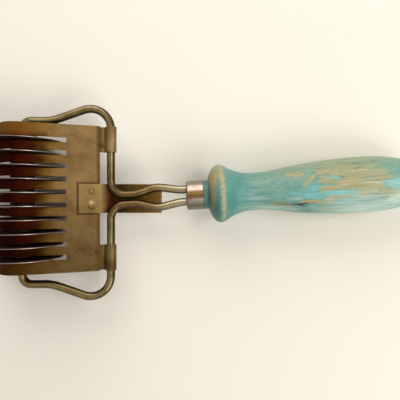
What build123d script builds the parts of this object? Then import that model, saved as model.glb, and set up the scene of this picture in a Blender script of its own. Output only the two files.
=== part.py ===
"""Hand rolling mincer: ten discs on a tube, a hinged comb plate, a bent wire frame and a turned handle."""

import math
import os

from build123d import *

# Drum: thin steel discs threaded on a tube with rings between them.
blade_count = 10
blade_pitch = 6.35
blade_radius = 19.05
blade_thickness = 0.8
blade_edge = 0.25
bevel_width = 2.0
tube_radius = 3.0
spacer_radius = 5.5
collar_radius = 6.5
collar_length = 4.5
lip_radius = 4.2
lip_length = 0.8

# Wire frame: two bent wires, one for each side.
wire_radius = 2.0
running_clearance = 0.08
stop_clearance = 0.3
axle_to_crossbar = 43.6
leg_half_span = 40.5
pintle_length = 18.0
flare_start = 14.5
flare_angle = 19.5
axle_bend = 4.5
flare_bend = 20.0
loop_bend = 10.0
throat_bend = 7.0
pinch_bend = 8.0
belly_bend = 10.0
entry_bend = 20.0
wire_end_chamfer = 0.4

# Shank and handle: stations run along the handle's axis from the point where it leans.
side_shift = 1.5
lean_angle = 3.6
lean_point = 50.0
pinch_half = 2.4
pinch_end = 6.5
belly_half = 5.2
belly_station = 16.5
entry_station = 28.0
tail_half = 3.1
tail_depth = 45.0
ferrule_station = 31.2
ferrule_length = 8.3
ferrule_radius = 7.3
ferrule_wall = 0.5
ferrule_lip = 1.6
ferrule_round = 1.2
wood_collar_length = 2.8
wood_collar_radius = 7.2
bulge_rise = 6.15
bulge_root_radius = 3.0
bulge_radius = 14.5
bulge_fall = 3.6
bulge_fall_radius = 12.95
cove_run = 7.6
cove_radius = 10.95
neck_run = 17.7
neck_radius = 9.3
swell_run = 36.0
swell_radius = 11.5
grip_run = 74.0
grip_radius = 14.2
butt_length = 34.0

# Comb plate and its latch tongue, both bent from sheet.
plate_half_width = 36.2
plate_play = 0.5
sheet = 0.6
comb_radius = 10.0
comb_end_angle = 165.0
slot_width = 2.4
slot_end = 22.8
finger_round = 0.38
plate_back_edge = 37.8
knuckle_length = 12.6
knuckle_inset = 0.5
knuckle_wrap = 308.0
tongue_sheet = 0.8
tongue_width = 14.5
tongue_start = 28.2
tongue_end = 68.7
joggle_start = 38.6
joggle_end = 42.3
joggle_bend = 2.0
rivet_station = 34.0
rivet_half_spacing = 3.7
rivet_radius = 0.9
rivet_head_radius = 1.3
rivet_head_height = 0.6

# The mincer rests on its discs and on the handle's belly: the support height of the elliptical butt
# equals the axis height there, which is a quadratic in the sine of the tilt.
lean = math.radians(lean_angle)
bulge_height = bulge_radius - bulge_root_radius
bulge_sweep = math.acos((wood_collar_radius - bulge_root_radius) / bulge_height)
shoulder = ferrule_station + ferrule_length + wood_collar_length
bulge_station = shoulder + bulge_rise * math.sin(bulge_sweep)
grip_station = bulge_station + grip_run
grip_x = lean_point + grip_station * math.cos(lean)
spread = grip_x**2 - butt_length**2 + grip_radius**2
moment = blade_radius * grip_x
excess = blade_radius**2 - grip_radius**2
tilt_sine = (moment - math.sqrt(moment**2 - spread * excess)) / spread
tilt_cosine = math.sqrt(1 - tilt_sine**2)

# The axle sits where the whole length is centred on X.
axis_cosine = math.cos(lean) * tilt_cosine
butt_reach = math.sqrt((butt_length * axis_cosine) ** 2 + grip_radius**2 * (1 - axis_cosine**2))
axle_x = (blade_radius - grip_x * tilt_cosine - butt_reach) / 2

# Planes: the frame's own plane, the side view, the axle's radius and the handle's radius.
axle_point = (axle_x, 0, blade_radius)
along = (tilt_cosine, 0, -tilt_sine)
frame_plane = Plane(axle_point, x_dir=along, z_dir=(tilt_sine, 0, tilt_cosine))
side_plane = Plane(axle_point, x_dir=along, z_dir=(0, -1, 0))
drum_plane = Plane((axle_x, side_shift, blade_radius), x_dir=(0, 1, 0), z_dir=(1, 0, 0))
drum_axis = Axis(axle_point, (0, 1, 0))


def shank_point(station, offset):
    """Frame-plane point at a station along the leaning handle axis and an offset to its left."""
    x = lean_point + station * math.cos(lean) - offset * math.sin(lean)
    y = side_shift + station * math.sin(lean) + offset * math.cos(lean)
    return (x, y)


handle_start = frame_plane.from_local_coords((*shank_point(0, 0), 0))
handle_next = frame_plane.from_local_coords((*shank_point(1, 0), 0))
handle_axis = Axis(handle_start, handle_next - handle_start)
handle_plane = Plane(handle_start, x_dir=handle_axis.direction, z_dir=frame_plane.z_dir)
tenon_station = ferrule_station + ferrule_wall
tail_plane = Plane(
    handle_plane.from_local_coords((tenon_station, 0, 0)),
    x_dir=handle_plane.y_dir,
    z_dir=handle_plane.x_dir,
)

# Plate line: it leaves the underside of the crossbar roll and meets the comb's arc from above.
roll_radius = wire_radius + running_clearance + sheet / 2
plate_slope = math.asin((comb_radius + roll_radius) / axle_to_crossbar)
normal_x = math.sin(plate_slope)
normal_z = math.cos(plate_slope)
plate_y = side_shift + plate_play
roll_point = (axle_to_crossbar - roll_radius * normal_x, -roll_radius * normal_z)
comb_point = (comb_radius * normal_x, comb_radius * normal_z)


def plate_point(x, height):
    """Side-view point on the plate's middle line at x, raised along the plate's normal."""
    z = comb_point[1] - (x - comb_point[0]) * math.tan(plate_slope)
    return (x + height * normal_x, z + height * normal_z)


os.makedirs("parts", exist_ok=True)


def wire_points(side):
    """Corner points of one frame wire from its pintle to its tail, side +1 for +Y and -1 for -Y."""
    leg = side * leg_half_span
    corner = leg + side * (axle_to_crossbar - flare_start) * math.tan(math.radians(flare_angle))
    pinch = side * pinch_half
    throat_station = (axle_to_crossbar - lean_point + pinch * math.sin(lean)) / math.cos(lean)
    tail_end = tenon_station + tail_depth
    return [
        (0, leg - side * pintle_length),
        (0, leg),
        (flare_start, leg),
        (axle_to_crossbar, corner),
        shank_point(throat_station, pinch),
        shank_point(pinch_end, pinch),
        shank_point(belly_station, side * belly_half),
        shank_point(entry_station, side * tail_half),
        shank_point(tail_end, side * tail_half),
    ]


wire_bends = [axle_bend, flare_bend, loop_bend, throat_bend, pinch_bend, belly_bend, entry_bend]
for wire_name, wire_side in (("frame_wire_left", 1), ("frame_wire_right", -1)):
    with BuildPart() as wire:
        with BuildLine(frame_plane) as wire_path:
            FilletPolyline(*wire_points(wire_side), radius=wire_bends)
        with BuildSketch(Plane(wire_path.line @ 0, z_dir=wire_path.line % 0)):
            Circle(wire_radius)
        sweep()
        chamfer(wire.faces().filter_by(GeomType.PLANE).edges(), wire_end_chamfer)
    wire.part.label = wire_name
    export_step(wire.part, f"parts/{wire_name}.step")

with BuildPart() as handle:
    with BuildSketch(handle_plane) as handle_section:
        with BuildLine():
            tenon_radius = ferrule_radius - ferrule_wall
            ferrule_end = ferrule_station + ferrule_length
            Polyline(
                (tenon_station, 0),
                (tenon_station, tenon_radius),
                (ferrule_end, tenon_radius),
                (ferrule_end, wood_collar_radius),
                (shoulder, wood_collar_radius),
            )
            EllipticalCenterArc(
                (bulge_station, bulge_root_radius),
                bulge_rise,
                bulge_height,
                start_angle=90,
                arc_size=math.degrees(bulge_sweep),
            )
            Spline(
                (bulge_station, bulge_radius),
                (bulge_station + bulge_fall, bulge_fall_radius),
                (bulge_station + cove_run, cove_radius),
                (bulge_station + neck_run, neck_radius),
                (bulge_station + swell_run, swell_radius),
                (grip_station, grip_radius),
                tangents=((1, 0), (1, 0)),
            )
            EllipticalCenterArc((grip_station, 0), butt_length, grip_radius, start_angle=0, arc_size=90)
            Line((grip_station + butt_length, 0), (tenon_station, 0))
        make_face()
        tenon_corner = handle_section.vertices().sort_by(Axis.X)[:2].sort_by(Axis.Y)[-1]
        fillet(tenon_corner, ferrule_round - ferrule_wall)
    revolve(axis=handle_axis)
    with BuildSketch(tail_plane):
        with Locations((tail_half, 0), (-tail_half, 0)):
            Circle(wire_radius)
    extrude(amount=tail_depth, mode=Mode.SUBTRACT)
handle.part.label = "handle"
export_step(handle.part, "parts/handle.step")

with BuildPart() as ferrule:
    with BuildSketch(handle_plane) as ferrule_section:
        with BuildLine():
            Polyline(
                (ferrule_station, ferrule_radius - ferrule_lip),
                (ferrule_station, ferrule_radius),
                (ferrule_station + ferrule_length, ferrule_radius),
                (ferrule_station + ferrule_length, ferrule_radius - ferrule_wall),
                (tenon_station, ferrule_radius - ferrule_wall),
                (tenon_station, ferrule_radius - ferrule_lip),
                close=True,
            )
        make_face()
        outer_corner = ferrule_section.vertices().sort_by(Axis.X)[:2].sort_by(Axis.Y)[-1]
        fillet(outer_corner, ferrule_round)
        inner_corner = ferrule_section.vertices().sort_by(Axis.X)[2:4].sort_by(Axis.Y)[-1]
        fillet(inner_corner, ferrule_round - ferrule_wall)
    revolve(axis=handle_axis)
ferrule.part.label = "ferrule"
export_step(ferrule.part, "parts/ferrule.step")


def drum_ring(ring_name, outline):
    """Revolve an outline of (distance along the axle, radius) about the axle and export it."""
    with BuildPart() as ring:
        with BuildSketch(drum_plane):
            with BuildLine():
                Polyline(*outline, close=True)
            make_face()
        revolve(axis=drum_axis)
    ring.part.label = ring_name
    export_step(ring.part, f"parts/{ring_name}.step")


def square_ring(ring_name, start, end, outer):
    """Plain ring on the tube between two places along the axle."""
    drum_ring(ring_name, [(start, tube_radius), (end, tube_radius), (end, outer), (start, outer)])


blade_half = blade_thickness / 2
edge_half = blade_edge / 2
first_blade = -blade_pitch * (blade_count - 1) / 2
for number in range(blade_count):
    place = first_blade + number * blade_pitch
    blade_outline = [
        (place - blade_half, tube_radius),
        (place + blade_half, tube_radius),
        (place + blade_half, blade_radius - bevel_width),
        (place + edge_half, blade_radius),
        (place - edge_half, blade_radius),
        (place - blade_half, blade_radius - bevel_width),
    ]
    drum_ring(f"blade_{number + 1:02d}", blade_outline)
    if number > 0:
        gap_start = place - blade_pitch + blade_half
        square_ring(f"spacer_{number}", gap_start, place - blade_half, spacer_radius)

stack_end = -first_blade + blade_half
tube_end = stack_end + collar_length
square_ring("end_collar_left", stack_end, tube_end, collar_radius)
square_ring("end_collar_right", -tube_end, -stack_end, collar_radius)
bore_radius = wire_radius + running_clearance
lip_end = tube_end + lip_length
tube_outline = [
    (-lip_end, bore_radius),
    (lip_end, bore_radius),
    (lip_end, lip_radius),
    (tube_end, lip_radius),
    (tube_end, tube_radius),
    (-tube_end, tube_radius),
    (-tube_end, lip_radius),
    (-lip_end, lip_radius),
]
drum_ring("axle_tube", tube_outline)


plate_side = side_plane.offset(-plate_y)
plate_top = Plane(frame_plane.from_local_coords((0, plate_y, 0)), x_dir=along, z_dir=frame_plane.z_dir)
plate_up = plate_side.from_local_coords((normal_x, normal_z, 0)) - plate_side.origin
rivet_plane = Plane(
    plate_side.from_local_coords(plate_point(rivet_station, 0)),
    x_dir=(0, 1, 0),
    z_dir=plate_up,
)
knuckle_end = plate_half_width - knuckle_inset
knuckle_start = knuckle_end - knuckle_length

with BuildPart() as stripper_plate:
    with BuildSketch(plate_side):
        with BuildLine():
            roll_start = 270 - math.degrees(plate_slope)
            CenterArc((axle_to_crossbar, 0), roll_radius, roll_start, knuckle_wrap)
            Line(roll_point, comb_point)
            comb_start = 90 - math.degrees(plate_slope)
            CenterArc((0, 0), comb_radius, comb_start, comb_end_angle - comb_start)
        trace(line_width=sheet)
    extrude(amount=plate_half_width, both=True)
    with BuildSketch(plate_top):
        slot_length = slot_end + 2 * comb_radius
        with Locations((slot_end - slot_length / 2, 0)):
            with GridLocations(0, blade_pitch, 1, blade_count):
                Rectangle(slot_length, slot_width)
        with Locations((plate_back_edge, 0)):
            Rectangle(axle_to_crossbar, 2 * knuckle_start, align=(Align.MIN, Align.CENTER))
        with Locations((plate_back_edge, knuckle_end)):
            Rectangle(axle_to_crossbar, knuckle_length, align=(Align.MIN, Align.MIN))
        with Locations((plate_back_edge, -knuckle_end)):
            Rectangle(axle_to_crossbar, knuckle_length, align=(Align.MIN, Align.MAX))
    extrude(amount=axle_to_crossbar, both=True, mode=Mode.SUBTRACT)
    with BuildSketch(rivet_plane):
        with GridLocations(2 * rivet_half_spacing, 0, 2, 1):
            Circle(rivet_radius)
    extrude(amount=sheet, both=True, mode=Mode.SUBTRACT)
    tip_faces = stripper_plate.faces().filter_by(GeomType.PLANE).group_by(Axis.X)[0]
    tip_edges = tip_faces.edges().filter_by(lambda edge: edge.length < 1.5 * sheet)
    fillet(tip_edges, finger_round * (blade_pitch - slot_width))
stripper_plate.part.label = "stripper_plate"
export_step(stripper_plate.part, "parts/stripper_plate.step")

with BuildPart() as latch_tongue:
    with BuildSketch(plate_side):
        with BuildLine():
            seat = (sheet + tongue_sheet) / 2
            under_wires = -(wire_radius + stop_clearance + tongue_sheet / 2)
            FilletPolyline(
                plate_point(tongue_start, seat),
                plate_point(joggle_start, seat),
                (joggle_end, under_wires),
                (tongue_end, under_wires),
                radius=joggle_bend,
            )
        trace(line_width=tongue_sheet)
    extrude(amount=tongue_width / 2, both=True)
    with BuildSketch(rivet_plane):
        with GridLocations(2 * rivet_half_spacing, 0, 2, 1):
            Circle(rivet_radius)
    extrude(amount=sheet + tongue_sheet, mode=Mode.SUBTRACT)
latch_tongue.part.label = "latch_tongue"
export_step(latch_tongue.part, "parts/latch_tongue.step")

for number, place in enumerate((rivet_half_spacing, -rivet_half_spacing)):
    shank_plane = Plane(
        rivet_plane.from_local_coords((place, 0, 0)),
        x_dir=rivet_plane.x_dir,
        z_dir=plate_up,
    )
    with BuildPart() as rivet:
        with BuildSketch(shank_plane.offset(-sheet / 2)):
            Circle(rivet_radius)
        extrude(amount=sheet + tongue_sheet)
        with BuildSketch(shank_plane.offset(-sheet / 2)):
            Circle(rivet_head_radius)
        extrude(amount=-rivet_head_height / 2)
        with BuildSketch(shank_plane.offset(sheet / 2 + tongue_sheet)):
            Circle(rivet_head_radius)
        extrude(amount=rivet_head_height)
        fillet(rivet.edges().sort_by(Axis.Z)[-1], 0.9 * rivet_head_height)
    rivet.part.label = f"tongue_rivet_{number + 1}"
    export_step(rivet.part, f"parts/tongue_rivet_{number + 1}.step")
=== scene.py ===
"""Looks of a hand rolling mincer: worn painted handle, bent wire frame, tinplate comb and steel discs."""

import logging
import math
from collections.abc import Callable
from dataclasses import dataclass
from enum import Enum
from functools import partial
from typing import Any

import bpy
import numpy as np
from mathutils import Matrix, Vector, noise


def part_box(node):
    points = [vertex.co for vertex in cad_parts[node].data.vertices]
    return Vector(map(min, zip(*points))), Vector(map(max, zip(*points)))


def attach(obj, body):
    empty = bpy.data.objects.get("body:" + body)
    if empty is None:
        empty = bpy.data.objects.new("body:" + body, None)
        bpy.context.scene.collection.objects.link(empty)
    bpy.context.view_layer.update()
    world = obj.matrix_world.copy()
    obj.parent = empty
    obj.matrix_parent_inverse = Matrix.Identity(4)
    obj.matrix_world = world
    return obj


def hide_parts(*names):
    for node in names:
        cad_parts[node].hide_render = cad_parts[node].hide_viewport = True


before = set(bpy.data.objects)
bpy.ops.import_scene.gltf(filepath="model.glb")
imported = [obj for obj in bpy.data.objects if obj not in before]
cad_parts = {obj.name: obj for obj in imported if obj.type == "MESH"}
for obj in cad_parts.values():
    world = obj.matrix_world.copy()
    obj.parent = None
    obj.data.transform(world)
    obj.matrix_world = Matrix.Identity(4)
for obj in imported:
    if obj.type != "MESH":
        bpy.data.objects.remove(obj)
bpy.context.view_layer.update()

log = logging.getLogger("mincer")

Point = tuple[float, float, float]
Stops = tuple[tuple[float, str], ...]
Inputs = dict[str | int, Any]
Settings = dict[str, str]

MM_PER_METRE = 1000

# What many nodes are set to: a soft start and end, a mix of two colours, a colour multiplied over what is
# under it to darken it, and a pattern laid out at its real size.
EASED: Settings = {"interpolation_type": "SMOOTHSTEP"}
BLENDED: Settings = {"data_type": "RGBA"}
MULTIPLIED: Settings = {"data_type": "RGBA", "blend_type": "MULTIPLY"}
SIZED: Settings = {"vector_type": "TEXTURE"}


def mm(value: float) -> float:
    """Millimetres as the metres that the frame uses."""
    return value / MM_PER_METRE


def metres(point: Point) -> Vector:
    """A point in millimetres as a vector in metres."""
    return Vector(point) / MM_PER_METRE


def linear(hex_colour: str) -> tuple[float, float, float, float]:
    """Turn an sRGB hex colour into the linear colour that sockets take.

    Args:
        hex_colour: six hex digits after a hash sign.

    Returns:
        Linear red, green and blue, and an alpha of 1.
    """
    shares = [int(hex_colour[place:place + 2], 16) / 255 for place in (1, 3, 5)]
    red, green, blue = (s / 12.92 if s <= 0.04045 else ((s + 0.055) / 1.055) ** 2.4 for s in shares)
    return red, green, blue, 1.0


def middle(node: str) -> Vector:
    """Middle of a CAD node's box at rest."""
    low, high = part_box(node)
    return (Vector(low) + Vector(high)) / 2


def fill(tree: bpy.types.NodeTree, node: bpy.types.Node, inputs: Inputs) -> None:
    """Set or link sockets of a shader node.

    Args:
        tree: node tree that holds the node.
        node: node whose sockets are filled.
        inputs: socket name or index, each with a value, a hex colour, a socket to link from, or a node
            whose first live output is linked.
    """
    for key, value in inputs.items():
        live = [socket for socket in node.inputs if socket.enabled and socket.name == key]
        socket = live[0] if live else node.inputs[key]
        if isinstance(value, bpy.types.Node):
            value = next(output for output in value.outputs if output.enabled)
        if isinstance(value, bpy.types.NodeSocket):
            tree.links.new(value, socket)
        else:
            socket.default_value = linear(value) if isinstance(value, str) else value


def add_node(
    tree: bpy.types.NodeTree, kind: str, inputs: Inputs | None = None, **settings: Any,
) -> bpy.types.Node:
    """Add one shader node with its settings, values and links.

    Args:
        tree: node tree that gets the node.
        kind: type name of the node, without the words that every shader node starts with.
        inputs: sockets to fill.
        settings: properties of the node; `stops` holds the places and hex colours of a colour ramp.

    Returns:
        The new node.
    """
    node = tree.nodes.new("ShaderNode" + kind)
    stops = settings.pop("stops", ())
    for name, value in settings.items():
        setattr(node, name, value)
    if stops:
        ramp = node.color_ramp.elements
        for _ in stops[2:]:
            ramp.new(1.0)
        for element, (place, colour) in zip(ramp, stops):
            element.position = place
            element.color = linear(colour)
    fill(tree, node, inputs or {})
    return node


class Layer(Enum):
    """What has happened to the handle's paint, with painted light and shade; each is an attribute of its
    mesh.
    """

    BARE = "bare"
    SOUND = "sound"
    THIN = "thin"
    DEEP = "deep"
    CHALK = "chalk"
    WARM = "warm"
    GRIME = "grime"
    CRACK = "crack"


@dataclass(frozen=True)
class Finish:
    """A named node material whose patterns are measured in millimetres on object coordinates."""

    name: str

    def begin(self) -> tuple[bpy.types.Material, Callable[..., bpy.types.Node], bpy.types.Node]:
        """Start the material.

        Returns:
            The material, what adds a node to it, and its texture coordinates.
        """
        material = bpy.data.materials.new(self.name)
        material.use_nodes = True
        add = partial(add_node, material.node_tree)
        return material, add, add("TexCoord")

    def end(self, material: bpy.types.Material, inputs: Inputs) -> bpy.types.Material:
        """Fill the sockets of the material's surface shader and give the material back."""
        fill(material.node_tree, material.node_tree.nodes["Principled BSDF"], inputs)
        return material

    def make(self) -> bpy.types.Material:
        """Build the material; every finish has its own nodes."""
        raise NotImplementedError


@dataclass(frozen=True)
class PaintedWood(Finish):
    """Turned beech under one brushed coat of turquoise oil paint, rubbed through by hands."""

    origin: Point
    turn: Point
    paint: str = "#659589"
    paint_pale: str = "#7BA394"
    paint_deep: str = "#388079"
    paint_sound: str = "#72BBB8"
    chalk_and_light_paint: str = "#CFE4D6"
    film: str = "#A0A67E"
    grime: str = "#3C4A3C"
    wood: Stops = ((0.30, "#86825C"), (0.47, "#A4A076"), (0.60, "#B4AE88"), (0.75, "#C5BF9C"))
    warm_wood: str = "#C89F66"
    grain_dirt: str = "#55604A"
    crack_dirt: str = "#17120B"
    # Length along the handle and width of each pattern that follows it, in millimetres.
    grain_size: tuple[float, float] = (26.0, 0.8)
    brush_size: tuple[float, float] = (14.0, 0.8)
    fleck_size: tuple[float, float] = (4.0, 0.5)
    scratch_size: tuple[float, float] = (9.0, 0.75)
    cloud_size: float = 9.0
    grit_size: float = 0.7
    brush_fray: float = 0.55
    grit_fray: float = 0.14
    warmth: float = 0.75
    paint_dirt: float = 0.2
    film_dirt: float = 0.45
    hand_dirt_and_shade: float = 0.7
    brush_relief: float = 0.35
    relief_depth: float = 0.3

    def make(self) -> bpy.types.Material:
        """Build the paint over the wood, parted by the piece's own attributes of wear and of painted light
        and shade.

        Returns:
            The material.
        """
        # Oil paint is smooth and faintly glossy; where it has gone, dry beech is dull with open grain.
        material, add, coordinates = self.begin()
        place = coordinates.outputs["Object"]
        axis = {"Vector": place, "Location": self.origin, "Rotation": self.turn}
        grain_lines, brush_lines, fleck_lines, scratch_lines = (
            add("Mapping", {**axis, "Scale": (mm(length), mm(width), mm(width))}, **SIZED)
            for length, width in (self.grain_size, self.brush_size, self.fleck_size, self.scratch_size))
        grain = add("TexNoise", {"Vector": grain_lines, "Scale": 1.0, "Detail": 4.0, "Roughness": 0.6})
        brush = add("TexNoise", {"Vector": brush_lines, "Scale": 1.0, "Detail": 3.0})
        fleck = add("TexNoise", {"Vector": fleck_lines, "Scale": 1.0, "Detail": 2.0})
        scratch = add("TexNoise", {"Vector": scratch_lines, "Scale": 1.0, "Detail": 3.0, "Roughness": 0.6})
        cloud = add("TexNoise", {"Vector": place, "Scale": 1 / mm(self.cloud_size), "Detail": 3.0})
        grit = add("TexNoise", {"Vector": place, "Scale": 1 / mm(self.grit_size), "Detail": 3.0})
        layers = {layer: add("Attribute", attribute_name=layer.value).outputs["Fac"] for layer in Layer}

        # The edge of each bare place is frayed along the grain, with a film of thin paint around it.
        frayed = add("Math", {0: brush, 1: self.brush_fray, 2: layers[Layer.BARE]}, operation="MULTIPLY_ADD")
        ragged = add("Math", {0: grit, 1: self.grit_fray, 2: frayed}, operation="MULTIPLY_ADD")
        bare = add("MapRange", {"Value": ragged, "From Min": 0.80, "From Max": 0.92}, **EASED)
        edge_film = add("MapRange", {
            "Value": ragged, "From Min": 0.54, "From Max": 0.84, "To Max": 0.6}, **EASED)
        scrapes = add("MapRange", {
            "Value": grain, "From Min": 0.40, "From Max": 0.62, "To Min": 0.7}, **EASED)
        rubbed = add("Math", {0: scrapes, 1: layers[Layer.THIN]}, operation="MULTIPLY")
        thin = add("Math", {0: rubbed, 1: edge_film}, operation="ADD", use_clamp=True)

        wood_tone = add("ValToRGB", {"Fac": grain}, stops=self.wood)
        warm = add("Math", {0: layers[Layer.WARM], 1: self.warmth}, operation="MULTIPLY")
        warm_tone = add("Mix", {"Factor": warm, "A": wood_tone, "B": self.warm_wood}, **BLENDED)
        residue = add("MapRange", {
            "Value": fleck, "From Min": 0.52, "From Max": 0.66, "To Max": 0.6}, **EASED)
        wood = add("Mix", {"Factor": residue, "A": warm_tone, "B": self.paint_pale}, **BLENDED)

        strokes = add("MapRange", {
            "Value": brush, "From Min": 0.46, "From Max": 0.66, "To Max": 0.65}, **EASED)
        scratched = add("MapRange", {"Value": scratch, "From Min": 0.49, "From Max": 0.36}, **EASED)
        exposed = add("Math", {0: thin, 1: self.film_dirt, 2: self.paint_dirt}, operation="MULTIPLY_ADD")
        dirt = add("Math", {0: scratched, 1: exposed}, operation="MULTIPLY")
        # Chalk is chalky paint and painted light: a highlight along the neck, a paler under side and bulge
        # flank.
        chalk_and_light_patch = add("Math", {0: layers[Layer.CHALK], 1: grain}, operation="MULTIPLY")
        chalk = add("MapRange", {"Value": chalk_and_light_patch, "From Min": 0.14, "From Max": 0.58, "To Max": 0.9})
        # Grime is dirt, and painted shade in the crease at the shoulder and round the collar.
        hand_dirt_and_shade = add("Math", {0: layers[Layer.GRIME], 1: self.hand_dirt_and_shade}, operation="MULTIPLY")
        crack = add("MapRange", {"Value": layers[Layer.CRACK], "From Min": 0.35, "From Max": 0.75}, **EASED)

        # Each of these covers what came before it.
        coats = (
            (strokes, self.paint_deep), (layers[Layer.DEEP], self.paint_deep),
            (layers[Layer.SOUND], self.paint_sound), (thin, self.film), (dirt, self.grain_dirt),
            (bare, wood), (chalk, self.chalk_and_light_paint), (hand_dirt_and_shade, self.grime), (crack, self.crack_dirt))
        colour = add("ValToRGB", {"Fac": cloud}, stops=((0.34, self.paint), (0.68, self.paint_pale)))
        for cover, coat in coats:
            colour = add("Mix", {"Factor": cover, "A": colour, "B": coat}, **BLENDED)

        dull = add("MapRange", {"Value": bare, "To Min": 0.46, "To Max": 0.80})
        pores = add("Math", {0: grain, 1: bare}, operation="MULTIPLY")
        relief = add("Math", {0: brush, 1: self.brush_relief, 2: pores}, operation="MULTIPLY_ADD")
        bump = add("Bump", {"Height": relief, "Strength": 0.4, "Distance": mm(self.relief_depth)})
        return self.end(material, {"Base Color": colour, "Roughness": dull, "Normal": bump, "IOR": 1.48})


@dataclass(frozen=True)
class Spot:
    """A stain or painted highlight on tin: its middle in metres, its reach in millimetres and its colour."""

    place: Vector
    reach: float
    colour: str


@dataclass(frozen=True)
class Tinplate(Finish):
    """Tinned sheet steel, cut and bent cold, browned by juice, rusted where wet; shade and highlights
    painted on.
    """

    run: tuple[float, float]
    stops: Stops
    spots: tuple[Spot, ...] = ()
    strip_stops: Stops = ((0.0, "#84602A"), (0.2, "#7B521D"), (0.35, "#7B5A26"), (0.55, "#866D48"))
    strip_middle: float = 2.0
    strip_from: float = 28.5
    strip_to: float = 32.5
    shadow_caster: str = ""
    shadow_line_width: float = 1.5
    back_edge: float | None = None
    back_band_width: float = 2.0
    back_band_core: float = 0.5
    shade_from: float = 8.0
    shade_to: float = -36.0
    shade_tint: str = "#6C6C58"
    pale_tin: str = "#B39C70"
    freckle: str = "#4B2D15"
    bloom: str = "#7D4C20"
    rust: str = "#351608"
    dark_edge_tone: str = "#4E3719"
    wet_and_shaded_side: str = "#86684A"
    glint: str = "#8A6A4C"
    tone: Stops = ((0.30, "#CDC4B4"), (0.52, "#F4F0E8"), (0.70, "#FFFFFF"))
    cloud_size: float = 9.0
    blot_size: float = 3.0
    freckle_size: float = 0.9
    drawn_size: tuple[float, float] = (15.0, 1.5)
    wander: float = 7.0
    streak: float = 7.0
    spot_fray: float = 2.2
    spot_core: float = 1.3
    dullness: float = 0.30
    blot_dullness: float = 0.30
    relief_depth: float = 0.15

    def make(self) -> bpy.types.Material:
        """Build the stained tin: run along X, blotches, freckles, spots, rusty cut edges, painted shade and
        highlights.

        Returns:
            The material.
        """
        # Tin over steel is a soft satin metal; stains and rust on it are dull and hardly metallic.
        material, add, coordinates = self.begin()
        place = coordinates.outputs["Object"]
        axes = add("SeparateXYZ", {0: place})
        cloud = add("TexNoise", {
            "Vector": place, "Scale": 1 / mm(self.cloud_size), "Detail": 5.0, "Roughness": 0.6})
        blot = add("TexNoise", {
            "Vector": place, "Scale": 1 / mm(self.blot_size), "Detail": 4.0, "Roughness": 0.65})
        speck = add("TexNoise", {"Vector": place, "Scale": 1 / mm(self.freckle_size), "Detail": 2.0})
        length, width = (mm(size) for size in self.drawn_size)
        drawn_lines = add("Mapping", {"Vector": place, "Scale": (length, width, length)}, **SIZED)
        drawn = add("TexNoise", {"Vector": drawn_lines, "Scale": 1.0, "Detail": 3.0})

        # The stain's front wanders along X. Its dark stretch is stain and painted shade, between the discs
        # on the plate and under the wires on the tongue; the two outer strips, outside the discs, are paler.
        wandering = add("Math", {
            0: cloud, 1: mm(self.wander), 2: axes.outputs["X"]}, operation="MULTIPLY_ADD")
        front = add("Math", {0: drawn, 1: mm(self.streak), 2: wandering}, operation="MULTIPLY_ADD")
        wet_end, dry_end = (mm(end + (self.wander + self.streak) / 2) for end in self.run)
        stage = add("MapRange", {"Value": front, "From Min": wet_end, "From Max": dry_end})
        run = add("ValToRGB", {"Fac": stage}, stops=self.stops)
        strip_run = add("ValToRGB", {"Fac": stage}, stops=self.strip_stops)
        off_middle = add("Math", {0: axes.outputs["Y"], 1: mm(self.strip_middle)}, operation="SUBTRACT")
        outward = add("Math", {0: off_middle}, operation="ABSOLUTE")
        strip = add("MapRange", {
            "Value": outward, "From Min": mm(self.strip_from), "From Max": mm(self.strip_to)}, **EASED)
        striped_run = add("Mix", {"Factor": strip, "A": run, "B": strip_run}, **BLENDED)

        # Painted shade: the tin is darker and greyer towards −Y.
        lower_side_shade = add("MapRange", {
            "Value": axes.outputs["Y"], "From Min": mm(self.shade_from), "From Max": mm(self.shade_to),
            "To Max": 0.75})
        shaded_run = add("Mix", {"Factor": lower_side_shade, "A": striped_run, "B": self.shade_tint}, **MULTIPLIED)
        tone = add("ValToRGB", {"Fac": cloud}, stops=self.tone)
        colour = add("Mix", {"Factor": 1.0, "A": shaded_run, "B": tone}, **MULTIPLIED)

        # Rubbed places, rust bloom and freckles fade out towards the wet end, where the stain covers all.
        rubbed = add("MapRange", {"Value": blot, "From Min": 0.52, "From Max": 0.80, "To Max": 0.2}, **EASED)
        blooming = add("MapRange", {
            "Value": blot, "From Min": 0.42, "From Max": 0.30, "To Max": 0.5}, **EASED)
        specks = add("MapRange", {
            "Value": speck, "From Min": 0.66, "From Max": 0.74, "To Max": 0.65}, **EASED)
        for cover, coat in ((rubbed, self.pale_tin), (blooming, self.bloom), (specks, self.freckle)):
            shown = add("Math", {0: cover, 1: stage}, operation="MULTIPLY")
            colour = add("Mix", {"Factor": shown, "A": colour, "B": coat}, **BLENDED)

        for spot in self.spots:
            away = add("VectorMath", {0: place, 1: spot.place}, operation="DISTANCE").outputs["Value"]
            rim, core = mm(spot.reach * self.spot_fray), mm(spot.reach * self.spot_core)
            uneven = add("Math", {0: blot, 1: rim, 2: away}, operation="MULTIPLY_ADD")
            inside = add("MapRange", {"Value": uneven, "From Min": rim, "From Max": core, "To Max": 0.9})
            colour = add("Mix", {"Factor": inside, "A": colour, "B": spot.colour}, **BLENDED)

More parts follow.
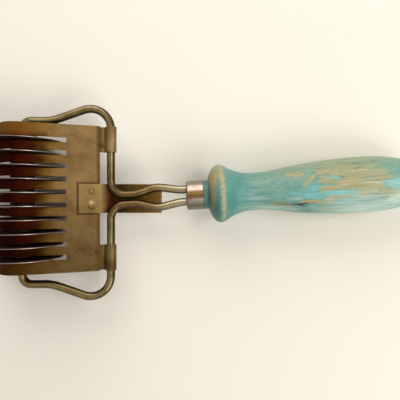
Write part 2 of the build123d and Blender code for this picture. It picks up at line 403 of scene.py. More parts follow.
        # A painted shadow: a dark band in rust colour on the plate just outside the tongue's end and sides.
        if self.shadow_caster:
            low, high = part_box(self.shadow_caster)
            halfway, half_width = (low[1] + high[1]) / 2, (high[1] - low[1]) / 2
            before = add("Math", {0: low[0], 1: axes.outputs["X"]}, operation="SUBTRACT")
            from_middle = add("Math", {0: axes.outputs["Y"], 1: halfway}, operation="SUBTRACT")
            aside = add("Math", {0: from_middle}, operation="ABSOLUTE")
            beyond = add("Math", {0: aside, 1: half_width}, operation="SUBTRACT")
            outside = add("Math", {0: before, 1: beyond}, operation="MAXIMUM")
            tongue_shadow = add("MapRange", {
                "Value": outside, "From Min": mm(self.shadow_line_width), "From Max": 0.0, "To Max": 0.9}, **EASED)
            colour = add("Mix", {"Factor": tongue_shadow, "A": colour, "B": self.rust}, **BLENDED)

        # A dark band along the plate's back edge.
        if self.back_edge is not None:
            behind = add("Math", {0: axes.outputs["X"], 1: mm(self.back_edge)}, operation="SUBTRACT")
            beside = add("Math", {0: behind}, operation="ABSOLUTE")
            back_edge_band = add("MapRange", {
                "Value": beside, "From Min": mm(self.back_band_width), "From Max": mm(self.back_band_core),
                "To Max": 0.85}, **EASED)
            colour = add("Mix", {"Factor": back_edge_band, "A": colour, "B": self.dark_edge_tone}, **BLENDED)

        # Upright faces are painted darker: rust on the cut edges and painted shade on steep bends. The under
        # side is
        # painted darker too: wet stain and painted shade under the plate.
        facing = add("SeparateXYZ", {0: coordinates.outputs["Normal"]})
        level = add("Math", {0: facing.outputs["Z"]}, operation="ABSOLUTE")
        edge = add("MapRange", {"Value": level, "From Min": 0.45, "From Max": 0.15, "To Max": 0.7})
        colour = add("Mix", {"Factor": edge, "A": colour, "B": self.dark_edge_tone}, **BLENDED)
        under = add("MapRange", {
            "Value": facing.outputs["Z"], "From Min": -0.2, "From Max": -0.6, "To Max": 0.85})
        colour = add("Mix", {"Factor": under, "A": colour, "B": self.wet_and_shaded_side}, **MULTIPLIED)

        sheen = add("MapRange", {
            "Value": stage, "From Min": 0.25, "From Max": 0.55, "To Min": 0.75, "To Max": 0.5})
        dull = add("Math", {0: blot, 1: self.blot_dullness, 2: self.dullness}, operation="MULTIPLY_ADD")
        stained = add("MapRange", {
            "Value": stage, "From Min": 0.2, "From Max": 0.5, "To Min": 0.22, "To Max": 0.0})
        rough = add("Math", {0: dull, 1: stained}, operation="ADD")
        bump = add("Bump", {"Height": blot, "Strength": 0.15, "Distance": mm(self.relief_depth)})
        return self.end(material, {
            "Base Color": colour, "Metallic": sheen, "Roughness": rough, "Normal": bump,
            "Specular IOR Level": 0.25, "Specular Tint": self.glint})


@dataclass(frozen=True)
class TarnishedWire(Finish):
    """Tinned steel wire, drawn and bent cold, browned all over; its lighter crown and darker flanks are
    painted light.
    """

    bright_from: float = -32.0
    bright_to: float = -12.0
    grime_and_shade_middle: Point = (-48.0, 2.0, 17.6)
    grime_and_shade_reach: tuple[float, float] = (10.0, 24.0)
    tarnish_and_light: Stops = (
        (0.0, "#2A200D"), (0.35, "#3F3115"), (0.65, "#564522"), (0.88, "#6B5A34"), (1.0, "#806F48"))
    bright: str = "#BBB295"
    grime: str = "#B49462"
    rust: str = "#5A3012"
    cloud_size: float = 5.0
    speck_size: float = 1.1
    unevenness: float = 0.7
    relief_depth: float = 0.06

    def make(self) -> bpy.types.Material:
        """Build the tarnish with rust specks, painted lighter where the wire looks up and brightest near the
        ferrule.

        Returns:
            The material.
        """
        # Drawn wire is smooth and keeps a tight highlight; its flanks are painted darker and duller, a
        # painted shade.
        material, add, coordinates = self.begin()
        place = coordinates.outputs["Object"]
        axes = add("SeparateXYZ", {0: place})
        facing = add("SeparateXYZ", {0: coordinates.outputs["Normal"]})
        cloud = add("TexNoise", {
            "Vector": place, "Scale": 1 / mm(self.cloud_size), "Detail": 4.0, "Roughness": 0.6})
        speck = add("TexNoise", {"Vector": place, "Scale": 1 / mm(self.speck_size), "Detail": 3.0})
        # How far the surface looks up: the tarnish is painted lighter on top and darker in the flanks.
        crown = add("MapRange", {"Value": facing.outputs["Z"], "From Min": 0.3, "From Max": 1.0})
        uneven = add("Math", {0: cloud, 1: self.unevenness, 2: crown}, operation="MULTIPLY_ADD")
        level = add("Math", {0: uneven, 1: self.unevenness / 2}, operation="SUBTRACT")
        tarnish_and_light = add("ValToRGB", {"Fac": level}, stops=self.tarnish_and_light)
        # Darker round the crossing of wires and tongue: grime and painted shade.
        away = add("VectorMath", {
            0: place, 1: metres(self.grime_and_shade_middle)}, operation="DISTANCE").outputs["Value"]
        core, rim = self.grime_and_shade_reach
        grime = add("MapRange", {
            "Value": away, "From Min": mm(rim), "From Max": mm(core), "To Max": 0.6}, **EASED)
        grimy_and_shaded = add("Mix", {"Factor": grime, "A": tarnish_and_light, "B": self.grime}, **MULTIPLIED)
        # A painted highlight on the crown of the wire near the ferrule.
        near_ferrule = add("MapRange", {
            "Value": axes.outputs["X"], "From Min": mm(self.bright_from), "From Max": mm(self.bright_to),
            "To Max": 0.6}, **EASED)
        shine = add("Math", {0: near_ferrule, 1: crown}, operation="MULTIPLY")
        bright = add("Mix", {"Factor": shine, "A": grimy_and_shaded, "B": self.bright}, **BLENDED)
        specks = add("MapRange", {
            "Value": speck, "From Min": 0.62, "From Max": 0.76, "To Max": 0.25}, **EASED)
        colour = add("Mix", {"Factor": specks, "A": bright, "B": self.rust}, **BLENDED)
        rough = add("MapRange", {
            "Value": cloud, "From Min": 0.3, "From Max": 0.7, "To Min": 0.14, "To Max": 0.30})
        bump = add("Bump", {"Height": speck, "Strength": 0.08, "Distance": mm(self.relief_depth)})
        return self.end(material, {
            "Base Color": colour, "Metallic": 0.7, "Roughness": rough, "Normal": bump})


@dataclass(frozen=True)
class DiscSteel(Finish):
    """Carbon steel stamped into discs, their edges ground bright, their sides stained by food and rust."""

    axle: Vector
    inner: float = 5.5
    outer: float = 19.05
    sides: Stops = (
        (0.0, "#22110A"), (0.45, "#301A11"), (0.78, "#3E2A20"), (0.88, "#604C44"), (0.96, "#7D6A62"),
        (1.0, "#A08E86"))
    rust: str = "#5C3115"
    glint: str = "#7A5A4C"
    grind_pitch: float = 0.5
    blot_size: float = 4.0
    ring_share: float = 0.10
    blot_share: float = 0.16
    ring_depth: float = 0.05

    def make(self) -> bpy.types.Material:
        """Build the disc by its radius: stained hub, brighter ground rim, rings from grinding.

        Returns:
            The material.
        """
        # Ground steel is bright with rings round the centre; the stained sides are dull and brown.
        # The grinding rings are drawn several times coarser than real ones so that they show.
        material, add, coordinates = self.begin()
        place = coordinates.outputs["Object"]
        arm = add("VectorMath", {0: place, 1: self.axle}, operation="SUBTRACT")
        flat = add("VectorMath", {0: arm, 1: (1, 0, 1)}, operation="MULTIPLY")
        radius = add("VectorMath", {0: flat}, operation="LENGTH").outputs["Value"]
        rings = add("TexNoise", {
            "W": radius, "Scale": 1 / mm(self.grind_pitch), "Detail": 2.0}, noise_dimensions="1D")
        blot = add("TexNoise", {
            "Vector": place, "Scale": 1 / mm(self.blot_size), "Detail": 5.0, "Roughness": 0.65})
        share = add("MapRange", {"Value": radius, "From Min": mm(self.inner), "From Max": mm(self.outer)})
        ringed = add("Math", {0: rings, 1: self.ring_share, 2: share}, operation="MULTIPLY_ADD")
        uneven = add("Math", {0: blot, 1: self.blot_share, 2: ringed}, operation="MULTIPLY_ADD")
        level = add("Math", {0: uneven, 1: (self.ring_share + self.blot_share) / 2}, operation="SUBTRACT")
        steel = add("ValToRGB", {"Fac": level}, stops=self.sides)
        bloom = add("MapRange", {"Value": blot, "From Min": 0.52, "From Max": 0.68, "To Max": 0.6}, **EASED)
        colour = add("Mix", {"Factor": bloom, "A": steel, "B": self.rust}, **BLENDED)
        rim = {"Value": level, "From Min": 0.7, "From Max": 0.9}
        sheen = add("MapRange", {**rim, "To Min": 0.7, "To Max": 0.9})
        rough = add("MapRange", {**rim, "To Min": 0.62, "To Max": 0.36})
        bump = add("Bump", {"Height": rings, "Strength": 0.15, "Distance": mm(self.ring_depth)})
        return self.end(material, {
            "Base Color": colour, "Metallic": sheen, "Roughness": rough, "Normal": bump,
            "Specular IOR Level": 0.15, "Specular Tint": self.glint})


@dataclass(frozen=True)
class RustedSteel(Finish):
    """Mild steel tube and rings that never dry out, brown with an even crust of rust."""

    crust: Stops = ((0.30, "#1D0D07"), (0.48, "#37200F"), (0.62, "#512D14"), (0.76, "#6A4626"))
    patch_size: float = 3.5
    grain_size: float = 0.6
    grain_share: float = 0.25
    crust_shift: float = 0.12
    crust_depth: float = 0.15

    def make(self) -> bpy.types.Material:
        """Build the crust from two sizes of rust grain.

        Returns:
            The material.
        """
        # Rust is matt and grainy; a little bare metal glints through.
        material, add, coordinates = self.begin()
        place = coordinates.outputs["Object"]
        patch = add("TexNoise", {
            "Vector": place, "Scale": 1 / mm(self.patch_size), "Detail": 5.0, "Roughness": 0.65})
        grain = add("TexNoise", {"Vector": place, "Scale": 1 / mm(self.grain_size), "Detail": 2.0})
        mixed = add("Math", {0: grain, 1: self.grain_share, 2: patch}, operation="MULTIPLY_ADD")
        level = add("Math", {0: mixed, 1: self.crust_shift}, operation="SUBTRACT")
        crust = add("ValToRGB", {"Fac": level}, stops=self.crust)
        rough = add("MapRange", {
            "Value": patch, "From Min": 0.3, "From Max": 0.7, "To Min": 0.85, "To Max": 0.6})
        bump = add("Bump", {"Height": mixed, "Strength": 0.5, "Distance": mm(self.crust_depth)})
        return self.end(material, {"Base Color": crust, "Metallic": 0.3, "Roughness": rough, "Normal": bump})


@dataclass(frozen=True)
class FerruleNickel(Finish):
    """Thin brass tube, nickel plated, lathe polished, smudged and browned, with its reflections painted on.
    """

    origin: Point
    turn: Point
    tarnish_and_light: Stops = (
        (0.0, "#7A7C72"), (0.12, "#9A9488"), (0.25, "#BBB2A2"), (0.42, "#A89D88"), (0.55, "#A1967F"),
        (0.62, "#978B7F"), (0.665, "#98887E"), (0.695, "#A89281"), (0.72, "#A88558"), (0.765, "#7B5F43"),
        (0.80, "#94847A"), (0.84, "#8E877A"), (0.88, "#6D6E5C"), (0.93, "#80827A"))
    polish: Stops = ((0.30, "#D2CDC4"), (0.55, "#F3F0EA"), (0.75, "#FFFFFF"))
    smudge: str = "#6B675E"
    polish_pitch: float = 0.5
    patch_size: float = 2.6
    unevenness: float = 0.3
    polish_cover: float = 0.6
    line_depth: float = 0.05

    def make(self) -> bpy.types.Material:
        """Build the plating: polish lines round it, painted reflections and tarnish round the tube, smudges.

        Returns:
            The material.
        """
        # Nickel is a warm white mirror; polish lines round the tube stretch its highlight along it.
        # The lines are drawn coarser than real ones so that they show.
        material, add, coordinates = self.begin()
        place = coordinates.outputs["Object"]
        local = add("Mapping", {"Vector": place, "Location": self.origin, "Rotation": self.turn}, **SIZED)
        axes = add("SeparateXYZ", {0: local})
        lines = add("TexNoise", {
            "W": axes.outputs["X"], "Scale": 1 / mm(self.polish_pitch), "Detail": 2.0},
            noise_dimensions="1D")
        patch = add("TexNoise", {
            "Vector": place, "Scale": 1 / mm(self.patch_size), "Detail": 4.0, "Roughness": 0.6})
        # Painted reflections with some tarnish: pale towards +Y, a brown band past the top, grey towards −Y.
        round_angle = add("Math", {0: axes.outputs["Z"], 1: axes.outputs["Y"]}, operation="ARCTAN2")
        uneven = add("Math", {0: patch, 1: self.unevenness, 2: round_angle}, operation="MULTIPLY_ADD")
        offset = self.unevenness / 2
        share = add("MapRange", {
            "Value": uneven, "From Min": offset - math.pi, "From Max": offset + math.pi})
        tarnish_and_light = add("ValToRGB", {"Fac": share}, stops=self.tarnish_and_light)
        polish = add("ValToRGB", {"Fac": lines}, stops=self.polish)
        lined = add("Mix", {"Factor": self.polish_cover, "A": tarnish_and_light, "B": polish}, **MULTIPLIED)
        smudges = add("MapRange", {
            "Value": patch, "From Min": 0.56, "From Max": 0.72, "To Max": 0.35}, **EASED)
        colour = add("Mix", {"Factor": smudges, "A": lined, "B": self.smudge}, **BLENDED)
        rough = add("MapRange", {
            "Value": patch, "From Min": 0.35, "From Max": 0.7, "To Min": 0.18, "To Max": 0.42})
        bump = add("Bump", {"Height": lines, "Strength": 0.12, "Distance": mm(self.line_depth)})
        return self.end(material, {
            "Base Color": colour, "Metallic": 1.0, "Roughness": rough, "Normal": bump})


@dataclass(frozen=True)
class Mark:
    """One marked place on the handle, in millimetres along it and degrees round it with 90 at the top."""

    layer: Layer
    station: float
    angle: float
    length: float
    width: float
    depth: float = 1.0
    slant: float = 0.0


@dataclass(frozen=True)
class Streak:
    """Unevenness of the wear, drawn out along the handle; its length and width are in millimetres."""

    strength: float
    length: float
    width: float
    octaves: int
    smoothness: float = 0.7
    refining: float = 2.0

    def at(self, along: float, across: float, up: float) -> float:
        """Unevenness at one point, on either side of 0."""
        place = Vector((along / self.length, across / self.width, up / self.width))
        return self.strength * noise.fractal(place, self.smoothness, self.refining, self.octaves)


@dataclass
class Handle:
    """The turned handle: profile radii at stations along its axis, and where its paint has gone."""

    # The outline, in millimetres along the axis and out from it.
    axis_start: Point = (-43.320, 1.5, 17.646)
    lean: float = math.radians(3.6)
    tilt: float = math.radians(1.609)
    tenon_station: float = 31.7
    tenon_radius: float = 6.8
    tenon_round: float = 0.7
    ferrule_end: float = 39.5
    collar_radius: float = 7.2
    shoulder: float = 42.3
    bulge_rise: float = 6.15
    bulge_root: float = 3.0
    stations: tuple[float, ...] = (48.03, 51.63, 55.63, 65.73, 84.03, 122.03)
    radii: tuple[float, ...] = (14.5, 12.95, 10.95, 9.3, 11.5, 14.2)
    butt_length: float = 34.0
    # How fine the mesh is.
    step: float = 0.45
    rounds: int = 288
    merge_distance: float = 0.005
    smooth_angle: float = math.radians(40)
    # How deep the wear goes and how ragged its edges are.
    bare_depth: float = 0.12
    crack_depth: float = 0.30
    sink_from: float = 0.4
    sink_span: float = 0.2
    core_radius: float = 1.0
    mark_falloff: float = 0.7
    streaks: tuple[Streak, ...] = (Streak(0.55, 16, 0.9, 2), Streak(0.75, 5, 1.9, 3))
    sound_fray: float = 0.9
    bare_fray: float = 0.38
    fray_gain: float = 4.0
    fray_least: float = 0.3
    sound_hold: float = 0.55
    marks: tuple[Mark, ...] = (
        Mark(Layer.BARE, 32, 90, 9, 90, 1.3),
        Mark(Layer.BARE, 44.9, 42, 5.2, 12),
        Mark(Layer.BARE, 44.0, 80, 1.7, 15, 1.0),
        Mark(Layer.BARE, 48.7, 72, 1.7, 35, 0.95),
        Mark(Layer.BARE, 84, 54, 9, 4, 0.55),
        Mark(Layer.BARE, 90.8, 71, 6.5, 2.4, 1.0, -0.8),
        Mark(Layer.BARE, 99, 56, 11, 5, 0.8),
        Mark(Layer.BARE, 99, 80, 9, 4, 0.9),
        Mark(Layer.BARE, 99.5, 94.5, 13, 2.4),
        Mark(Layer.BARE, 107, 86, 9, 5),
        Mark(Layer.BARE, 108, 60, 12, 8, 0.8),
        Mark(Layer.BARE, 117, 84, 18, 12, 1.1),
        Mark(Layer.BARE, 115.5, 110, 6, 3),
        Mark(Layer.BARE, 126, 78.5, 6, 1.8),
        Mark(Layer.BARE, 126.5, 102.5, 6, 1.8),
        Mark(Layer.BARE, 99.5, 117, 6.5, 4.2, 0.9, -0.3),
        Mark(Layer.BARE, 105, 113.5, 10, 1.8, 0.9),
        Mark(Layer.BARE, 91.3, 123, 9, 2.2),
        Mark(Layer.BARE, 76, 130, 9, 1.2, 0.8),
        Mark(Layer.BARE, 77, 137, 9, 1.1, 0.8),
        Mark(Layer.BARE, 79, 142, 7, 1.1, 0.65),
        Mark(Layer.BARE, 134, 118, 18, 7, 0.8),
        Mark(Layer.BARE, 152, 90, 9, 22, 0.75),
        Mark(Layer.BARE, 128, -92, 40, 9, 0.85),
        Mark(Layer.BARE, 112, -20, 46, 6, 0.7),
        Mark(Layer.BARE, 110, 205, 40, 5, 0.7),
        Mark(Layer.BARE, 47.8, -90, 1.6, 26, 0.9),
        Mark(Layer.BARE, 90, -112, 28, 4, 0.72),
        Mark(Layer.THIN, 48.4, 74, 2.6, 36, 0.6),
        Mark(Layer.THIN, 44.5, 70, 3.4, 16, 0.6),
        Mark(Layer.THIN, 109, 28, 40, 15),
        Mark(Layer.THIN, 88, 28, 24, 11, 0.65),
        Mark(Layer.THIN, 84, 54, 12, 5, 0.7),
        Mark(Layer.THIN, 69, 54, 11, 8, 0.3),
        Mark(Layer.THIN, 112, 60, 26, 14, 0.9),
        Mark(Layer.THIN, 100, 146, 11, 4, 0.6),
        Mark(Layer.THIN, 112, -20, 50, 16, 0.8),
        Mark(Layer.THIN, 120, -92, 50, 18, 0.8),
        Mark(Layer.SOUND, 91.3, 108, 8, 3.4),
        Mark(Layer.SOUND, 91.5, 91, 6, 3.2, 0.75),
        Mark(Layer.SOUND, 102.5, 73, 5, 1.9),
        Mark(Layer.SOUND, 102, 103.5, 17, 2.0),
        Mark(Layer.SOUND, 83, 103, 9, 2.6, 0.6),
        Mark(Layer.SOUND, 91, 135.5, 5, 1.7),
        Mark(Layer.SOUND, 128, 90, 9, 4.0, 0.9),
        Mark(Layer.SOUND, 132, 58, 10, 9, 0.3),
        Mark(Layer.SOUND, 106, 125, 9, 3.0, 0.6),
        Mark(Layer.DEEP, 53, 112, 10, 18),
        Mark(Layer.DEEP, 45.8, 122, 4.6, 22),
        Mark(Layer.DEEP, 50, 150, 8, 14, 0.9),
        Mark(Layer.DEEP, 45.8, 142, 5, 14, 0.9),
        Mark(Layer.DEEP, 60, 126, 14, 8, 0.75),
        Mark(Layer.DEEP, 56, 66, 12, 16, 0.5),
        Mark(Layer.DEEP, 40.9, 90, 3.0, 40, 0.8),
        Mark(Layer.DEEP, 53, -90, 14, 40, 0.7),
        # Chalky paint, and painted light: the highlight along the neck, a paler under side and a lighter
        # bulge flank.
        Mark(Layer.CHALK, 44.6, 75, 5, 26, 0.42),
        Mark(Layer.CHALK, 66, 114, 14, 2.4, 0.55),
        Mark(Layer.CHALK, 63, 140, 22, 8, 0.5),
        Mark(Layer.CHALK, 69, 53, 5, 2.2, 0.35),
        Mark(Layer.CHALK, 83, 116.5, 9, 1.6, 0.7),
        Mark(Layer.CHALK, 118, 148, 44, 18),
        Mark(Layer.CHALK, 113, 132, 12, 4, 0.8),
        Mark(Layer.CHALK, 119, 84, 14, 10, 0.4),
        Mark(Layer.CHALK, 74, 152, 26, 6, 0.8),
        Mark(Layer.CHALK, 131, 128, 16, 9, 0.9),
        Mark(Layer.CHALK, 138, 100, 24, 16, 0.6),
        Mark(Layer.WARM, 88.3, 123, 2.4, 2.6),
        Mark(Layer.WARM, 94.2, 123, 3.0, 2.6, 0.9),
        Mark(Layer.WARM, 90.8, 71, 6.0, 2.0, 0.8, -0.8),
        Mark(Layer.WARM, 98.5, 95, 9, 1.2, 0.5),
        Mark(Layer.WARM, 107, 86, 6, 3, 0.35),
        Mark(Layer.WARM, 100, 116, 7, 3, 0.5),
        Mark(Layer.WARM, 115.6, 110, 4, 2.4, 0.45),
        Mark(Layer.WARM, 48.5, 62, 1.8, 8, 0.7),
        Mark(Layer.WARM, 44.4, 50, 4.0, 13, 0.9),
        Mark(Layer.GRIME, 32, 90, 6, 90, 0.6),
        # A dark line round the crease at the shoulder and a darker collar: painted shade with dirt.
        Mark(Layer.GRIME, 42.3, 90, 0.6, 90, 0.9),
        Mark(Layer.GRIME, 42.3, -90, 0.6, 90, 0.9),
        Mark(Layer.GRIME, 40.9, 95, 3.0, 45, 0.55),
        Mark(Layer.GRIME, 77, 134, 10, 2.4, 0.35),
        Mark(Layer.CRACK, 78.5, 134, 10, 0.55, 0.9),
        Mark(Layer.CRACK, 84.6, 132.5, 6.5, 0.75, 1.1),
        Mark(Layer.CRACK, 87.3, 128.8, 6.0, 0.6, 1.1, -0.12),
        Mark(Layer.CRACK, 87.5, 136.0, 5.5, 0.6, 1.05, 0.12),
    )

    def placement(self) -> Matrix:
        """Matrix that carries the handle's own axis, along X, to its place in the frame."""
        turn = Matrix.Rotation(self.tilt, 4, "Y") @ Matrix.Rotation(self.lean, 4, "Z")
        return Matrix.Translation(metres(self.axis_start)) @ turn

    def start_and_turn(self) -> tuple[Point, Point]:
        """Where the handle's axis starts, in metres, and how it is turned, for patterns that follow it."""
        return tuple(mm(value) for value in self.axis_start), tuple(self.placement().to_euler())

    def radius_at(self, station: np.ndarray) -> np.ndarray:
        """Work out the turned outline: tenon, collar, bulge, a smooth curve through the radii, and butt.

        Args:
            station: places along the axis in millimetres.

        Returns:
            The radius at each place in millimetres.
        """
        gaps = np.diff(self.stations)
        slopes = np.diff(self.radii) / gaps
        matrix = np.eye(len(self.stations))
        right = np.zeros(len(self.stations))
        for place in range(1, len(self.stations) - 1):
            before, after = gaps[place - 1], gaps[place]
            matrix[place, place - 1:place + 2] = after, 2 * (before + after), before
            right[place] = 3 * (after * slopes[place - 1] + before * slopes[place])
        tangents = np.linalg.solve(matrix, right)
        span = np.clip(np.searchsorted(self.stations, station, "right") - 1, 0, len(gaps) - 1)
        gap = gaps[span]
        share = (station - np.array(self.stations)[span]) / gap
        start, end = np.array(self.radii)[span], np.array(self.radii)[span + 1]
        curve = ((2 * share**3 - 3 * share**2 + 1) * start
                 + (share**3 - 2 * share**2 + share) * gap * tangents[span]
                 + (3 * share**2 - 2 * share**3) * end
                 + (share**3 - share**2) * gap * tangents[span + 1])
        rise = np.clip((self.stations[0] - station) / self.bulge_rise, 0, 1)
        bulge = self.bulge_root + (self.radii[0] - self.bulge_root) * np.sqrt(1 - rise**2)
        fall = np.clip((station - self.stations[-1]) / self.butt_length, 0, 1)
        butt = self.radii[-1] * np.sqrt(1 - fall**2)
        corner = np.clip((self.tenon_station + self.tenon_round - station) / self.tenon_round, 0, 1)
        tenon = self.tenon_radius - self.tenon_round * (1 - np.sqrt(1 - corner**2))
        return np.select(
            [station < self.ferrule_end, station < self.shoulder, station < self.stations[0],
             station < self.stations[-1]],
            [tenon, np.full_like(station, self.collar_radius), bulge, curve], butt)

    def outline(self) -> list[tuple[float, float]]:
        """Draw half the outline.

        Returns:
            Stations and radii in millimetres, from the tenon's middle to the butt's tip.
        """
        grip = self.stations[-1]
        body = np.linspace(self.tenon_station, grip, round((grip - self.tenon_station) / self.step))
        quarter = np.linspace(0, math.pi / 2, round(self.butt_length / self.step))[1:]
        places = np.concatenate([body, grip + self.butt_length * np.sin(quarter)])
        points = list(zip(places.tolist(), self.radius_at(places).tolist()))
        return [(self.tenon_station, 0.0)] + points[:-1] + [(grip + self.butt_length, 0.0)]

    def turn(self) -> bpy.types.Object:
        """Turn the handle as on a lathe: draw half its outline and spin it round the axis.

        Returns:
            The plain handle, along X from the origin.
        """
        points = [Vector((mm(along), 0, mm(out))) for along, out in self.outline()]
        bpy.ops.object.select_all(action="DESELECT")
        bpy.ops.mesh.primitive_plane_add(size=mm(1), location=points[0])
        piece = bpy.context.active_object
        piece.name = "handle_turned"
        bpy.ops.object.transform_apply(location=True)
        bpy.ops.object.mode_set(mode="EDIT")
        bpy.ops.mesh.select_all(action="SELECT")
        bpy.ops.mesh.merge(type="CENTER")
        for before, after in zip(points, points[1:]):
            bpy.ops.mesh.extrude_vertices_move(TRANSFORM_OT_translate={"value": after - before})
        bpy.ops.mesh.select_all(action="SELECT")
        bpy.ops.mesh.spin(steps=self.rounds, angle=2 * math.pi, center=(0, 0, 0), axis=(1, 0, 0))
        bpy.ops.mesh.select_all(action="SELECT")
        bpy.ops.mesh.remove_doubles(threshold=mm(self.merge_distance))
        bpy.ops.mesh.normals_make_consistent(inside=False)
        bpy.ops.object.mode_set(mode="OBJECT")
        return piece

    def layer_field(
        self, layer: Layer, along: np.ndarray, angle: np.ndarray, radius: np.ndarray,
    ) -> np.ndarray:
        """How strongly the marks of one layer reach each point.

        Args:
            layer: layer whose marks count.
            along: station of each point in millimetres.
            angle: degrees round the axis.
            radius: distance from the axis in millimetres.

        Returns:
            The strongest mark at each point, 0 where none reaches.
        """
        strongest = np.zeros_like(along)
        for mark in self.marks:
            if mark.layer is not layer:
                continue
            turn = (angle - mark.angle + 180) % 360 - 180
            ahead = along - mark.station
            aside = np.radians(turn) * radius - mark.slant * ahead
            reach = (2 * ahead / mark.length) ** 2 + (2 * aside / mark.width) ** 2
            strongest = np.maximum(strongest, mark.depth * np.exp(-self.mark_falloff * reach))
        return strongest

    def wear(self, piece: bpy.types.Object) -> None:
        """Rub the paint away: sink bare and cracked places and note on each point what happened there.

        Args:
            piece: the plain handle, still along X from the origin.
        """
        mesh = piece.data
        places = np.empty(len(mesh.vertices) * 3)
        mesh.vertices.foreach_get("co", places)
        places = places.reshape(-1, 3) * MM_PER_METRE
        along, across, up = places.T
        radius = np.hypot(across, up)
        angle = np.degrees(np.arctan2(up, across))
        uneven = np.array([sum(streak.at(*place) for streak in self.streaks) for place in places.tolist()])
        layers = {layer: self.layer_field(layer, along, angle, radius) for layer in Layer}
        sound = np.clip(layers[Layer.SOUND] * (1.0 + self.sound_fray * uneven), 0, 1)
        edge = np.clip(layers[Layer.BARE] * self.fray_gain, self.fray_least, 1)
        bare = layers[Layer.BARE] + self.bare_fray * uneven * edge - self.sound_hold * sound
        layers[Layer.SOUND] = sound
        layers[Layer.BARE] = np.clip(bare, 0, 1)
        sunk = self.bare_depth * np.clip((layers[Layer.BARE] - self.sink_from) / self.sink_span, 0, 1)
        sunk += self.crack_depth * layers[Layer.CRACK]
        keep = 1 - sunk / np.maximum(radius, self.core_radius) * (along > self.shoulder)
        places[:, 1:] *= keep[:, None]
        mesh.vertices.foreach_set("co", (places / MM_PER_METRE).ravel())
        for layer, values in layers.items():
            attribute = mesh.attributes.new(layer.value, "FLOAT", "POINT")
            attribute.data.foreach_set("value", np.clip(values, 0, 1))
        mesh.update()

    def build(self) -> None:
        """Make the handle in place of its plain solid and dress it."""
        piece = self.turn()
        self.wear(piece)
        piece.matrix_world = self.placement()
        bpy.ops.object.transform_apply(location=True, rotation=True, scale=True)
        bpy.ops.object.shade_smooth_by_angle(angle=self.smooth_angle)
        piece.data.materials.append(PaintedWood("painted_beech", *self.start_and_turn()).make())
        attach(piece, "frame")
        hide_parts("handle")
        log.info("%s turned with %d points", piece.name, len(piece.data.vertices))


def dress(nodes: list[str], finish: Finish) -> None:
    """Give CAD nodes one finish.

    Args:
        nodes: names of the nodes.
        finish: what they are made of.
    """
    material = finish.make()
    for name in nodes:
        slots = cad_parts[name].data.materials
        slots.clear()
        slots.append(material)
        log.info("%s dressed in %s", name, finish.name)


@dataclass
class Comb:
    """The stripper: comb plate, latch tongue and the rivets that join them, with places in millimetres."""

    plate_run: tuple[float, float] = (-100.0, -50.0)
    # Plate run: rust stain and painted shade between the discs, then tan, then a painted highlight on the
    # knuckles.
    plate_stain_and_light_stops: Stops = (
        (0.00, "#4E1D0B"), (0.12, "#4B1809"), (0.22, "#561D0C"), (0.29, "#4C2009"), (0.345, "#4A2609"),
        (0.40, "#654517"), (0.47, "#7E6033"), (0.58, "#7E6440"), (0.75, "#806845"), (0.87, "#7B6341"),
        (0.97, "#98825A"))
    plate_back: float = -55.5
    tongue_run: tuple[float, float] = (-70.0, -24.0)
    # Tongue run: a dark band of stain and painted shade where it dips under the wires, and a pale end, worn
    # and with a painted highlight.
    tongue_stain_and_light_stops: Stops = (
        (0.00, "#8B7348"), (0.33, "#8E764C"), (0.41, "#4A2412"), (0.46, "#35160A"), (0.53, "#3E280F"),
        (0.64, "#54401C"), (0.78, "#785820"), (0.95, "#8C6C34"), (0.99, "#BFA878"))
    rivet_stops: Stops = ((0.0, "#85704A"), (0.5, "#8E7850"))
    knuckle_rust: tuple[tuple[Point, float], ...] = (((-54.7, 28.7, 17.6), 1.9), ((-56.2, -24.7, 17.6), 1.6))
    rivet_ring: float = 1.7
    highlight_tin: str = "#CDB587"
    highlight_offset: Point = (0.1, 1.6, 0.0)
    highlight_reach: float = 1.7
    tongue_wander: float = 3.0
    tongue_streak: float = 2.0

    def dress(self) -> None:
        """Dress the plate, the tongue and the rivets."""
        rivets = ["tongue_rivet_1", "tongue_rivet_2"]
        corners = tuple(Spot(metres(place), reach, Tinplate.rust) for place, reach in self.knuckle_rust)
        # Each rivet gets a dark ring round it; the lower one gets a pale spot just above it, a painted
        # highlight on its head.
        rings = tuple(Spot(middle(name), self.rivet_ring, Tinplate.rust) for name in rivets)
        lower = min((middle(name) for name in rivets), key=lambda place: place.y)
        rivet_highlight = (Spot(lower + metres(self.highlight_offset), self.highlight_reach, self.highlight_tin),)
        narrow = {"wander": self.tongue_wander, "streak": self.tongue_streak}
        dress(["stripper_plate"], Tinplate(
            "stained_tinplate", self.plate_run, self.plate_stain_and_light_stops, corners, shadow_caster="latch_tongue",
            back_edge=self.plate_back))
        dress(["latch_tongue"], Tinplate(
            "tongue_stain_and_shade", self.tongue_run, self.tongue_stain_and_light_stops, rings + rivet_highlight, **narrow))
        dress(rivets, Tinplate("rivet_steel", self.tongue_run, self.rivet_stops, rivet_highlight, **narrow))


@dataclass(frozen=True)
class Lamp:
    """A square lamp that looks at the object; its place and size are in metres."""

    name: str
    place: Point
    size: float
    watts: float

    def hang(self) -> None:
        """Add the lamp and turn it towards the object."""
        bpy.ops.object.light_add(type="AREA", location=self.place)
        lamp = bpy.context.active_object
        lamp.name = self.name
        lamp.data.size = self.size
        lamp.data.energy = self.watts
        lamp.rotation_euler = (-Vector(self.place)).to_track_quat("-Z", "Y").to_euler()


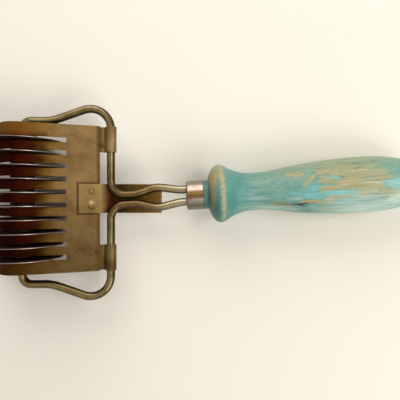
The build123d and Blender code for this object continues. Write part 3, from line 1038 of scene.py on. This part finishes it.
@dataclass
class Stage:
    """Pale floor, soft lamps, a dim room and the camera straight above."""

    # In metres, apart from the camera's place, which is in millimetres.
    floor_size: float = 4.0
    floor_colour: str = "#F3ECDE"
    floor_roughness: float = 0.9
    backdrop_colour: str = "#F1EDE3"
    backdrop_strength: float = 0.9
    fade: tuple[float, float] = (0.3, 0.9)
    lamps: tuple[Lamp, ...] = (
        Lamp("window_lamp", (-0.12, 0.53, 0.34), 0.5, 2.6),
        Lamp("near_lamp", (0.42, -0.46, 0.56), 0.5, 3.5),
        Lamp("ceiling_lamp", (0.48, 0.05, 0.72), 0.35, 2.3),
    )
    bright_side: Point = (0.7, 0.30, 0.55)
    sky: Stops = ((0.42, "#1E1B18"), (0.72, "#8C877E"), (1.0, "#FFFDF8"))
    sky_heights: tuple[float, float] = (0.05, 0.5)
    sky_strengths: tuple[float, float] = (0.1, 0.64)
    camera_place: Point = (-5.3, 1.25, 203.0)
    lens: float = 33.39
    near_clip: float = 0.01

    def build(self) -> None:
        """Lay the floor, hang the lamps, light the room and set the camera."""
        self.lay_floor()
        for lamp in self.lamps:
            lamp.hang()
        self.light_room()
        self.set_camera()

    def lay_floor(self) -> None:
        """Lay a matt floor that far out fades into the plain backdrop, for looks but not for light."""
        bpy.ops.object.select_all(action="DESELECT")
        bpy.ops.mesh.primitive_plane_add(size=self.floor_size, location=(0, 0, 0))
        floor = bpy.context.active_object
        floor.name = "floor"
        material = bpy.data.materials.new("pale_floor")
        material.use_nodes = True
        tree = material.node_tree
        surface = tree.nodes["Principled BSDF"]
        fill(tree, surface, {"Base Color": self.floor_colour, "Roughness": self.floor_roughness})
        add = partial(add_node, tree)
        away = add("VectorMath", {0: add("TexCoord").outputs["Object"]}, operation="LENGTH").outputs["Value"]
        near, remote = self.fade
        far = add("MapRange", {"Value": away, "From Min": near, "From Max": remote}, **EASED)
        gone = add("Math", {0: far, 1: self.seen(tree)}, operation="MULTIPLY")
        backdrop = add("Emission", {"Color": self.backdrop_colour, "Strength": self.backdrop_strength})
        mixed = add("MixShader", {0: gone, 1: surface, 2: backdrop})
        fill(tree, tree.nodes["Material Output"], {"Surface": mixed})
        floor.data.materials.append(material)

    def light_room(self) -> None:
        """Light the room softly, brightest at one side and dim low down, with a plain backdrop for looks."""
        world = bpy.data.worlds.new("soft_room")
        bpy.context.scene.world = world
        world.use_nodes = True
        tree = world.node_tree
        add = partial(add_node, tree)
        bright_side = Vector(self.bright_side).normalized()
        direction = add("TexCoord").outputs["Generated"]
        towards = add("VectorMath", {0: direction, 1: bright_side}, operation="DOT_PRODUCT").outputs["Value"]
        share = add("MapRange", {"Value": towards, "From Min": -1.0})
        sky = add("ValToRGB", {"Fac": share}, stops=self.sky)
        height = add("SeparateXYZ", {0: direction}).outputs["Z"]
        (low, high), (dim, full) = self.sky_heights, self.sky_strengths
        strength = add("MapRange", {
            "Value": height, "From Min": low, "From Max": high, "To Min": dim, "To Max": full})
        light = add("Background", {"Color": sky, "Strength": strength})
        backdrop = add("Background", {"Color": self.backdrop_colour, "Strength": self.backdrop_strength})
        mixed = add("MixShader", {0: self.seen(tree), 1: light, 2: backdrop})
        fill(tree, tree.nodes["World Output"], {"Surface": mixed})

    def seen(self, tree: bpy.types.NodeTree) -> bpy.types.Node:
        """Add what tells a look, straight, mirrored or through glass, from light that falls on things.

        Args:
            tree: node tree of the floor or of the room.

        Returns:
            A node whose value is 1 for a look.
        """
        path = add_node(tree, "LightPath").outputs
        mirrored = add_node(tree, "Math", {
            0: path["Is Glossy Ray"], 1: path["Is Transmission Ray"]}, operation="MAXIMUM")
        return add_node(tree, "Math", {0: path["Is Camera Ray"], 1: mirrored}, operation="MAXIMUM")

    def set_camera(self) -> None:
        """Set the camera over the object, looking straight down."""
        bpy.ops.object.camera_add(location=[mm(value) for value in self.camera_place], rotation=(0, 0, 0))
        camera = bpy.context.active_object
        camera.data.lens = self.lens
        camera.data.clip_start = self.near_clip
        bpy.context.scene.camera = camera
        bpy.context.scene.view_settings.view_transform = "Standard"


def main() -> None:
    """Build and dress the mincer piece by piece, then light it."""
    logging.basicConfig(level=logging.INFO, format="%(name)s: %(message)s")
    names = sorted(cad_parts)
    handle = Handle()
    handle.build()
    dress(["ferrule"], FerruleNickel("ferrule_nickel", *handle.start_and_turn()))
    dress([name for name in names if name.startswith("frame_wire")], TarnishedWire("tarnished_wire"))
    Comb().dress()
    axle = middle("axle_tube")
    dress([name for name in names if name.startswith("blade")], DiscSteel("disc_steel", axle))
    rings = [name for name in names if name.startswith(("spacer", "end_collar", "axle"))]
    dress(rings, RustedSteel("rusted_steel"))
    Stage().build()


if __name__ == "__main__":
    main()
